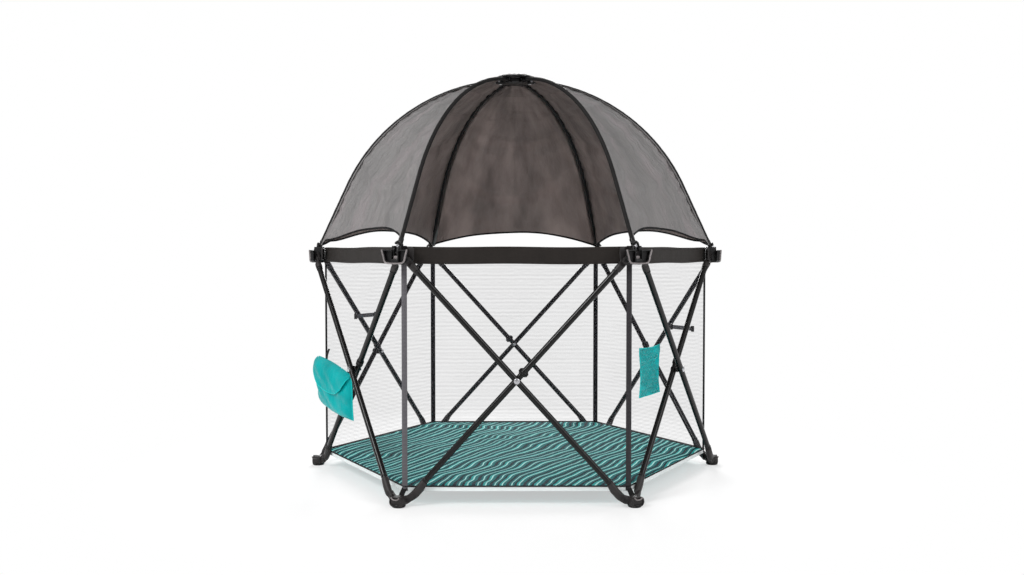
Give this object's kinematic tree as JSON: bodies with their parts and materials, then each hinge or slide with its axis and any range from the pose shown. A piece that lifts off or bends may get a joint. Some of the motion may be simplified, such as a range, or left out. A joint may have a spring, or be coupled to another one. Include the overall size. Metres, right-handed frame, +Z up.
{
  "type": "travel play yard",
  "caption": "Folding hexagonal play yard with scissor side frames, mesh walls, a raised floor mat and a ribbed canopy that is open at the front.",
  "frame": {"origin": "centre of the hexagon at floor level, which is the bottom centre of the bounding box", "axes": "+Z up; -Y towards the open canopy side, the front; +X to the right as seen from the front"},
  "size_m": [1.256, 1.1094, 1.2],
  "materials": {
    "frame_tube": "semi-gloss black powder coat",
    "frame_plastic": "moulded dark grey plastic",
    "lock_collar": "moulded black plastic",
    "canopy_pole": "black fibreglass rod",
    "canopy_saddle": "moulded black plastic",
    "crown_fabric": "black woven fabric",
    "canopy_fabric": "grey satin woven fabric, dark inside",
    "mesh": "white open mesh",
    "rim_fabric": "near-black padded fabric",
    "webbing": "dark grey webbing",
    "mat_fabric": "printed waves in teal and mint",
    "pouch_fabric": "teal fabric"
  },
  "bodies": {
    "foot_0": {"foot_0": "frame_plastic"},
    "mat_front": {"floor_mat_front": "mat_fabric"},
    "mat_rear": {"floor_mat_rear": "mat_fabric"},
    "foot_1": {"foot_1": "frame_plastic"},
    "foot_2": {"foot_2": "frame_plastic"},
    "foot_3": {"foot_3": "frame_plastic"},
    "foot_4": {"foot_4": "frame_plastic"},
    "foot_5": {"foot_5": "frame_plastic"},
    "hub_0": {"hub_0": "frame_plastic", "mesh_wall_0": "mesh", "rim_band": "rim_fabric", "webbing_trim": "webbing"},
    "outer_tube_0": {"outer_tube_0": "frame_tube"},
    "inner_tube_0": {"inner_tube_0": "frame_tube"},
    "lock_collar_0": {"lock_collar_0": "lock_collar"},
    "canopy_saddle_0": {"canopy_saddle_0": "canopy_saddle"},
    "canopy_pole_0": {"canopy_pole_0": "canopy_pole"},
    "hub_1": {"hub_1": "frame_plastic", "mesh_wall_1": "mesh", "side_pocket": "pouch_fabric"},
    "outer_tube_1": {"outer_tube_1": "frame_tube"},
    "inner_tube_1": {"inner_tube_1": "frame_tube"},
    "lock_collar_1": {"lock_collar_1": "lock_collar"},
    "canopy_saddle_1": {"canopy_saddle_1": "canopy_saddle"},
    "canopy_pole_1": {"canopy_pole_1": "canopy_pole", "canopy_gore_1": "canopy_fabric"},
    "hub_2": {"hub_2": "frame_plastic", "mesh_wall_2": "mesh"},
    "outer_tube_2": {"outer_tube_2": "frame_tube"},
    "inner_tube_2": {"inner_tube_2": "frame_tube"},
    "lock_collar_2": {"lock_collar_2": "lock_collar"},
    "canopy_saddle_2": {"canopy_saddle_2": "canopy_saddle"},
    "canopy_pole_2": {"canopy_pole_2": "canopy_pole", "canopy_gore_2": "canopy_fabric"},
    "hub_3": {"hub_3": "frame_plastic", "mesh_wall_3": "mesh"},
    "outer_tube_3": {"outer_tube_3": "frame_tube"},
    "inner_tube_3": {"inner_tube_3": "frame_tube"},
    "lock_collar_3": {"lock_collar_3": "lock_collar"},
    "canopy_saddle_3": {"canopy_saddle_3": "canopy_saddle"},
    "canopy_pole_3": {"canopy_pole_3": "canopy_pole", "canopy_gore_3": "canopy_fabric"},
    "hub_4": {"hub_4": "frame_plastic", "mesh_wall_4": "mesh"},
    "outer_tube_4": {"outer_tube_4": "frame_tube"},
    "inner_tube_4": {"inner_tube_4": "frame_tube"},
    "lock_collar_4": {"lock_collar_4": "lock_collar"},
    "canopy_saddle_4": {"canopy_saddle_4": "canopy_saddle"},
    "canopy_pole_4": {"canopy_pole_4": "canopy_pole", "canopy_gore_4": "canopy_fabric"},
    "hub_5": {"hub_5": "frame_plastic", "mesh_wall_5": "mesh", "storage_pouch": "pouch_fabric"},
    "outer_tube_5": {"outer_tube_5": "frame_tube"},
    "inner_tube_5": {"inner_tube_5": "frame_tube"},
    "lock_collar_5": {"lock_collar_5": "lock_collar"},
    "canopy_saddle_5": {"canopy_saddle_5": "canopy_saddle"},
    "canopy_pole_5": {"canopy_pole_5": "canopy_pole", "canopy_gore_5": "canopy_fabric"},
    "crown": {"canopy_crown": "crown_fabric"}
  },
  "joints": [
    {"name": "frame_fold", "type": "hinge", "parent": "foot_0", "child": "inner_tube_0", "pos_m": [-0.28, -0.51828, 0.019], "axis": [0, -1, 0], "range_deg": [0, 37.23], "deforming": ["floor_mat_front", "floor_mat_rear", "rim_band", "webbing_trim", "storage_pouch", "side_pocket", "mesh_wall_0", "mesh_wall_1", "mesh_wall_2", "mesh_wall_3", "mesh_wall_4", "mesh_wall_5", "canopy_gore_1", "canopy_gore_2", "canopy_gore_3", "canopy_gore_4", "canopy_gore_5", "canopy_pole_1", "canopy_pole_2", "canopy_pole_3", "canopy_pole_4", "canopy_pole_5"]},
    {"name": "cross_pivot_0", "type": "hinge", "parent": "inner_tube_0", "child": "outer_tube_0", "pos_m": [0, -0.53827, 0.3275], "axis": [0, -1, 0], "range_deg": [-74.5, 0]},
    {"name": "pin_outer_tube_0_to_hub_0", "type": "hinge", "parent": "outer_tube_0", "child": "hub_0", "pos_m": [-0.28, -0.53827, 0.636], "axis": [0, -1, 0], "range_deg": [0, 37.25]},
    {"name": "pin_inner_tube_0_to_hub_1", "type": "hinge", "parent": "inner_tube_0", "child": "hub_1", "pos_m": [0.28, -0.51828, 0.636], "axis": [0, -1, 0], "range_deg": [-37.25, 0]},
    {"name": "pin_outer_tube_0_to_foot_1", "type": "hinge", "parent": "outer_tube_0", "child": "foot_1", "pos_m": [0.28, -0.53827, 0.019], "axis": [0, -1, 0], "range_deg": [0, 37.25]},
    {"name": "pin_hub_1_to_outer_tube_1", "type": "hinge", "parent": "hub_1", "child": "outer_tube_1", "pos_m": [0.32616, -0.51162, 0.636], "axis": [0.866, -0.5, 0], "range_deg": [-37.25, 0]},
    {"name": "cross_pivot_1", "type": "hinge", "parent": "outer_tube_1", "child": "inner_tube_1", "pos_m": [0.46616, -0.26914, 0.3275], "axis": [0.866, -0.5, 0], "range_deg": [0, 74.5]},
    {"name": "pin_inner_tube_1_to_hub_2", "type": "hinge", "parent": "inner_tube_1", "child": "hub_2", "pos_m": [0.58884, -0.01665, 0.636], "axis": [0.866, -0.5, 0], "range_deg": [-37.25, 0]},
    {"name": "pin_outer_tube_1_to_foot_2", "type": "hinge", "parent": "outer_tube_1", "child": "foot_2", "pos_m": [0.60616, -0.02665, 0.019], "axis": [0.866, -0.5, 0], "range_deg": [0, 37.25]},
    {"name": "pin_foot_2_to_inner_tube_2", "type": "hinge", "parent": "foot_2", "child": "inner_tube_2", "pos_m": [0.58884, 0.01665, 0.019], "axis": [0.866, 0.5, 0], "range_deg": [0, 37.25]},
    {"name": "cross_pivot_2", "type": "hinge", "parent": "inner_tube_2", "child": "outer_tube_2", "pos_m": [0.46616, 0.26914, 0.3275], "axis": [0.866, 0.5, 0], "range_deg": [-74.5, 0]},
    {"name": "pin_inner_tube_2_to_hub_3", "type": "hinge", "parent": "inner_tube_2", "child": "hub_3", "pos_m": [0.30884, 0.50162, 0.636], "axis": [0.866, 0.5, 0], "range_deg": [-37.25, 0]},
    {"name": "pin_outer_tube_2_to_foot_3", "type": "hinge", "parent": "outer_tube_2", "child": "foot_3", "pos_m": [0.32616, 0.51162, 0.019], "axis": [0.866, 0.5, 0], "range_deg": [0, 37.25]},
    {"name": "pin_foot_0_to_outer_tube_5", "type": "hinge", "parent": "foot_0", "child": "outer_tube_5", "pos_m": [-0.32616, -0.51162, 0.019], "axis": [-0.866, -0.5, 0], "range_deg": [-37.25, 0]},
    {"name": "cross_pivot_5", "type": "hinge", "parent": "outer_tube_5", "child": "inner_tube_5", "pos_m": [-0.46616, -0.26914, 0.3275], "axis": [-0.866, -0.5, 0], "range_deg": [0, 74.5]},
    {"name": "pin_outer_tube_5_to_hub_5", "type": "hinge", "parent": "outer_tube_5", "child": "hub_5", "pos_m": [-0.60616, -0.02665, 0.636], "axis": [-0.866, -0.5, 0], "range_deg": [0, 37.25]},
    {"name": "pin_inner_tube_5_to_foot_5", "type": "hinge", "parent": "inner_tube_5", "child": "foot_5", "pos_m": [-0.58884, -0.01665, 0.019], "axis": [-0.866, -0.5, 0], "range_deg": [-37.25, 0]},
    {"name": "pin_hub_5_to_inner_tube_4", "type": "hinge", "parent": "hub_5", "child": "inner_tube_4", "pos_m": [-0.58884, 0.01665, 0.636], "axis": [-0.866, 0.5, 0], "range_deg": [0, 37.25]},
    {"name": "cross_pivot_4", "type": "hinge", "parent": "inner_tube_4", "child": "outer_tube_4", "pos_m": [-0.46616, 0.26914, 0.3275], "axis": [-0.866, 0.5, 0], "range_deg": [-74.5, 0]},
    {"name": "pin_outer_tube_4_to_hub_4", "type": "hinge", "parent": "outer_tube_4", "child": "hub_4", "pos_m": [-0.32616, 0.51162, 0.636], "axis": [-0.866, 0.5, 0], "range_deg": [0, 37.25]},
    {"name": "pin_inner_tube_4_to_foot_4", "type": "hinge", "parent": "inner_tube_4", "child": "foot_4", "pos_m": [-0.30884, 0.50162, 0.019], "axis": [-0.866, 0.5, 0], "range_deg": [-37.25, 0]},
    {"name": "pin_foot_4_to_outer_tube_3", "type": "hinge", "parent": "foot_4", "child": "outer_tube_3", "pos_m": [-0.28, 0.53827, 0.019], "axis": [0, 1, 0], "range_deg": [-37.25, 0]},
    {"name": "cross_pivot_3", "type": "hinge", "parent": "outer_tube_3", "child": "inner_tube_3", "pos_m": [0, 0.53827, 0.3275], "axis": [0, 1, 0], "range_deg": [0, 74.5]},
    {"name": "mat_front_fold", "type": "hinge", "parent": "foot_0", "child": "mat_front", "pos_m": [0, -0.50487, 0.036], "axis": [1, 0, 0], "range_deg": [0, 78.45]},
    {"name": "mat_rear_fold", "type": "hinge", "parent": "foot_4", "child": "mat_rear", "pos_m": [0, 0.50487, 0.036], "axis": [-1, 0, 0], "range_deg": [0, 78.45]},
    {"name": "canopy_lift", "type": "slide", "parent": "hub_0", "child": "canopy_saddle_0", "axis": [0, 0, 1], "range_m": [0, 0.15]},
    {"name": "saddle_lift_1", "type": "slide", "parent": "hub_1", "child": "canopy_saddle_1", "axis": [0, 0, 1], "range_m": [0, 0.15]},
    {"name": "saddle_lift_2", "type": "slide", "parent": "hub_2", "child": "canopy_saddle_2", "axis": [0, 0, 1], "range_m": [0, 0.15]},
    {"name": "saddle_lift_3", "type": "slide", "parent": "hub_3", "child": "canopy_saddle_3", "axis": [0, 0, 1], "range_m": [0, 0.15]},
    {"name": "saddle_lift_4", "type": "slide", "parent": "hub_4", "child": "canopy_saddle_4", "axis": [0, 0, 1], "range_m": [0, 0.15]},
    {"name": "saddle_lift_5", "type": "slide", "parent": "hub_5", "child": "canopy_saddle_5", "axis": [0, 0, 1], "range_m": [0, 0.15]},
    {"name": "pole_foot_pin_0", "type": "hinge", "parent": "canopy_saddle_0", "child": "canopy_pole_0", "pos_m": [-0.305, -0.52828, 0.656], "axis": [0.866, -0.5, 0], "range_deg": [0, 41.49]},
    {"name": "pole_crown_pin_0", "type": "hinge", "parent": "canopy_pole_0", "child": "crown", "pos_m": [-0.025, -0.0433, 1.18], "axis": [0.866, -0.5, 0], "range_deg": [-41.49, 0]},
    {"name": "pole_crown_pin_1", "type": "hinge", "parent": "crown", "child": "canopy_pole_1", "pos_m": [0.025, -0.0433, 1.18], "axis": [0.866, 0.5, 0], "range_deg": [0, 41.49]},
    {"name": "pole_crown_pin_2", "type": "hinge", "parent": "crown", "child": "canopy_pole_2", "pos_m": [0.05, 0, 1.18], "axis": [0, 1, 0], "range_deg": [0, 41.49]},
    {"name": "pole_crown_pin_3", "type": "hinge", "parent": "crown", "child": "canopy_pole_3", "pos_m": [0.025, 0.0433, 1.18], "axis": [-0.866, 0.5, 0], "range_deg": [0, 41.49]},
    {"name": "pole_crown_pin_4", "type": "hinge", "parent": "crown", "child": "canopy_pole_4", "pos_m": [-0.025, 0.0433, 1.18], "axis": [-0.866, -0.5, 0], "range_deg": [0, 41.49]},
    {"name": "pole_crown_pin_5", "type": "hinge", "parent": "crown", "child": "canopy_pole_5", "pos_m": [-0.05, 0, 1.18], "axis": [0, -1, 0], "range_deg": [0, 41.49]},
    {"name": "lock_collar_slide_0", "type": "slide", "parent": "inner_tube_0", "child": "lock_collar_0", "axis": [0.6721, 0, 0.7405], "range_m": [0, 0.028]},
    {"name": "lock_collar_slide_1", "type": "slide", "parent": "inner_tube_1", "child": "lock_collar_1", "axis": [0.336, 0.582, 0.7405], "range_m": [0, 0.028]},
    {"name": "lock_collar_slide_2", "type": "slide", "parent": "inner_tube_2", "child": "lock_collar_2", "axis": [-0.336, 0.582, 0.7405], "range_m": [0, 0.028]},
    {"name": "lock_collar_slide_3", "type": "slide", "parent": "inner_tube_3", "child": "lock_collar_3", "axis": [-0.6721, 0, 0.7405], "range_m": [0, 0.028]},
    {"name": "lock_collar_slide_4", "type": "slide", "parent": "inner_tube_4", "child": "lock_collar_4", "axis": [-0.336, -0.582, 0.7405], "range_m": [0, 0.028]},
    {"name": "lock_collar_slide_5", "type": "slide", "parent": "inner_tube_5", "child": "lock_collar_5", "axis": [0.336, -0.582, 0.7405], "range_m": [0, 0.028]}
  ],
  "couplings": [
    {"joint": "cross_pivot_0", "follows": "frame_fold", "ratio": -2},
    {"joint": "pin_outer_tube_0_to_hub_0", "follows": "frame_fold", "ratio": 1},
    {"joint": "pin_inner_tube_0_to_hub_1", "follows": "frame_fold", "ratio": -1},
    {"joint": "pin_outer_tube_0_to_foot_1", "follows": "frame_fold", "ratio": 1},
    {"joint": "pin_hub_1_to_outer_tube_1", "follows": "frame_fold", "ratio": -1},
    {"joint": "cross_pivot_1", "follows": "frame_fold", "ratio": 2},
    {"joint": "pin_inner_tube_1_to_hub_2", "follows": "frame_fold", "ratio": -1},
    {"joint": "pin_outer_tube_1_to_foot_2", "follows": "frame_fold", "ratio": 1},
    {"joint": "pin_foot_2_to_inner_tube_2", "follows": "frame_fold", "ratio": 1},
    {"joint": "cross_pivot_2", "follows": "frame_fold", "ratio": -2},
    {"joint": "pin_inner_tube_2_to_hub_3", "follows": "frame_fold", "ratio": -1},
    {"joint": "pin_outer_tube_2_to_foot_3", "follows": "frame_fold", "ratio": 1},
    {"joint": "pin_foot_0_to_outer_tube_5", "follows": "frame_fold", "ratio": -1},
    {"joint": "cross_pivot_5", "follows": "frame_fold", "ratio": 2},
    {"joint": "pin_outer_tube_5_to_hub_5", "follows": "frame_fold", "ratio": 1},
    {"joint": "pin_inner_tube_5_to_foot_5", "follows": "frame_fold", "ratio": -1},
    {"joint": "pin_hub_5_to_inner_tube_4", "follows": "frame_fold", "ratio": 1},
    {"joint": "cross_pivot_4", "follows": "frame_fold", "ratio": -2},
    {"joint": "pin_outer_tube_4_to_hub_4", "follows": "frame_fold", "ratio": 1},
    {"joint": "pin_inner_tube_4_to_foot_4", "follows": "frame_fold", "ratio": -1},
    {"joint": "pin_foot_4_to_outer_tube_3", "follows": "frame_fold", "ratio": -1},
    {"joint": "cross_pivot_3", "follows": "frame_fold", "ratio": 2},
    {"joint": "mat_front_fold", "follows": "frame_fold", "ratio": 2.106},
    {"joint": "mat_rear_fold", "follows": "frame_fold", "ratio": 2.106},
    {"joint": "saddle_lift_1", "follows": "canopy_lift", "ratio": 1},
    {"joint": "saddle_lift_2", "follows": "canopy_lift", "ratio": 1},
    {"joint": "saddle_lift_3", "follows": "canopy_lift", "ratio": 1},
    {"joint": "saddle_lift_4", "follows": "canopy_lift", "ratio": 1},
    {"joint": "saddle_lift_5", "follows": "canopy_lift", "ratio": 1},
    {"joint": "pole_foot_pin_0", "follows": "frame_fold", "ratio": 1.1139},
    {"joint": "pole_crown_pin_0", "follows": "frame_fold", "ratio": -1.1139},
    {"joint": "pole_crown_pin_1", "follows": "frame_fold", "ratio": 1.1139},
    {"joint": "pole_crown_pin_2", "follows": "frame_fold", "ratio": 1.1139},
    {"joint": "pole_crown_pin_3", "follows": "frame_fold", "ratio": 1.1139},
    {"joint": "pole_crown_pin_4", "follows": "frame_fold", "ratio": 1.1139},
    {"joint": "pole_crown_pin_5", "follows": "frame_fold", "ratio": 1.1139}
  ]
}
